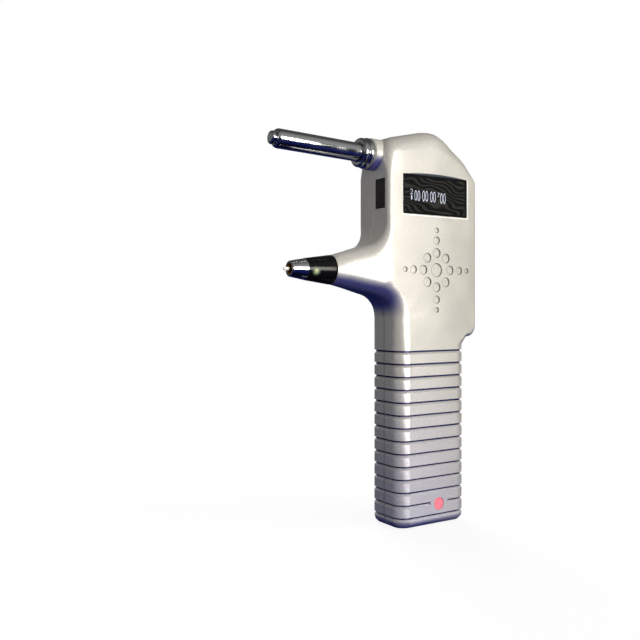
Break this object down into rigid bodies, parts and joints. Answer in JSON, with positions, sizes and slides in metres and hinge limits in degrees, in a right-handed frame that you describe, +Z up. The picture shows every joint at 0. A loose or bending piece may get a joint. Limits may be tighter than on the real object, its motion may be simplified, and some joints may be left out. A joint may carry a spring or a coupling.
{
  "type": "rebound tonometer",
  "caption": "Pistol-shaped eye pressure meter with a silver shell, grooved handle, tapered nose with a sliding probe, chrome brow rod, display window and rear keypad.",
  "frame": {"origin": "middle of the flat face under the handle, on the plane where the two half shells meet", "axes": "+Z up along the handle, -X the way the nose and the brow rod point, -Y the side with the display"},
  "size_m": [0.1241, 0.027, 0.2124],
  "materials": {
    "silver_paint": "satin silver paint on moulded plastic",
    "black_plastic": "satin moulded black",
    "window_acrylic": "polished smoked acrylic",
    "display_glass": "glass and film stack",
    "circuit_board": "solder mask",
    "red_lens": "translucent red",
    "green_lens": "clear with a green lamp behind",
    "cell_wrap": "shrink wrap",
    "dark_plastic": "moulded, fine grain",
    "nickel_contact": "nickel plate",
    "socket_steel": "drawn steel",
    "screw_steel": "zinc plate, dark",
    "chrome_plate": "polished",
    "turned_brass": "turned",
    "ivory_plastic": "moulded",
    "copper_wire": "enamelled copper wire",
    "slate_plastic": "moulded",
    "probe_steel": "bright drawn wire",
    "white_plastic": "moulded",
    "ring_rubber": "moulded",
    "panel_plastic": "fine grain",
    "button_plastic": "soft touch"
  },
  "bodies": {
    "instrument": {"right_housing": "silver_paint", "left_housing": "silver_paint", "housing_screws": "screw_steel", "display_window": "window_acrylic", "display_module": "display_glass", "sensor_window": "window_acrylic", "sensor_board": "circuit_board", "charge_lens": "red_lens", "charge_board": "circuit_board", "charge_socket": "socket_steel", "battery_cell": "cell_wrap", "battery_cradle": "dark_plastic", "battery_contacts": "nickel_contact", "main_board": "circuit_board", "buzzer": "dark_plastic", "nose_sleeve": "black_plastic", "sleeve_lamp": "green_lens", "nose_ring": "chrome_plate", "mouth_bush": "turned_brass", "guide_tube": "turned_brass", "coil_bobbin": "ivory_plastic", "drive_coil": "copper_wire", "sense_coil": "copper_wire", "coil_carrier": "slate_plastic", "rod_collar": "chrome_plate", "rod_bush": "ivory_plastic", "rod_o_ring": "ring_rubber", "rear_panel": "panel_plastic", "button_board": "circuit_board"},
    "probe": {"probe_wire": "probe_steel", "probe_tip": "white_plastic"},
    "forehead_rest": {"forehead_rod": "chrome_plate", "rod_end_knob": "chrome_plate", "rod_stop_ring": "screw_steel"},
    "measure_key": {"measure_button": "button_plastic"},
    "select_key_upper": {"select_button_upper": "button_plastic"},
    "select_key_lower": {"select_button_lower": "button_plastic"}
  },
  "joints": [
    {"name": "probe_throw", "type": "slide", "parent": "instrument", "child": "probe", "axis": [-1, 0, 0], "range_m": [0, 0.006]},
    {"name": "forehead_rest_slide", "type": "slide", "parent": "instrument", "child": "forehead_rest", "axis": [0.9993, 0, -0.0384], "range_m": [-0.006, 0.018]},
    {"name": "measure_button_press", "type": "slide", "parent": "instrument", "child": "measure_key", "axis": [-1, 0, 0], "range_m": [0, 0.001], "stiffness_N_per_m": 900},
    {"name": "select_button_upper_press", "type": "slide", "parent": "instrument", "child": "select_key_upper", "axis": [-1, 0, 0], "range_m": [0, 0.001], "stiffness_N_per_m": 900},
    {"name": "select_button_lower_press", "type": "slide", "parent": "instrument", "child": "select_key_lower", "axis": [-1, 0, 0], "range_m": [0, 0.001], "stiffness_N_per_m": 900}
  ]
}
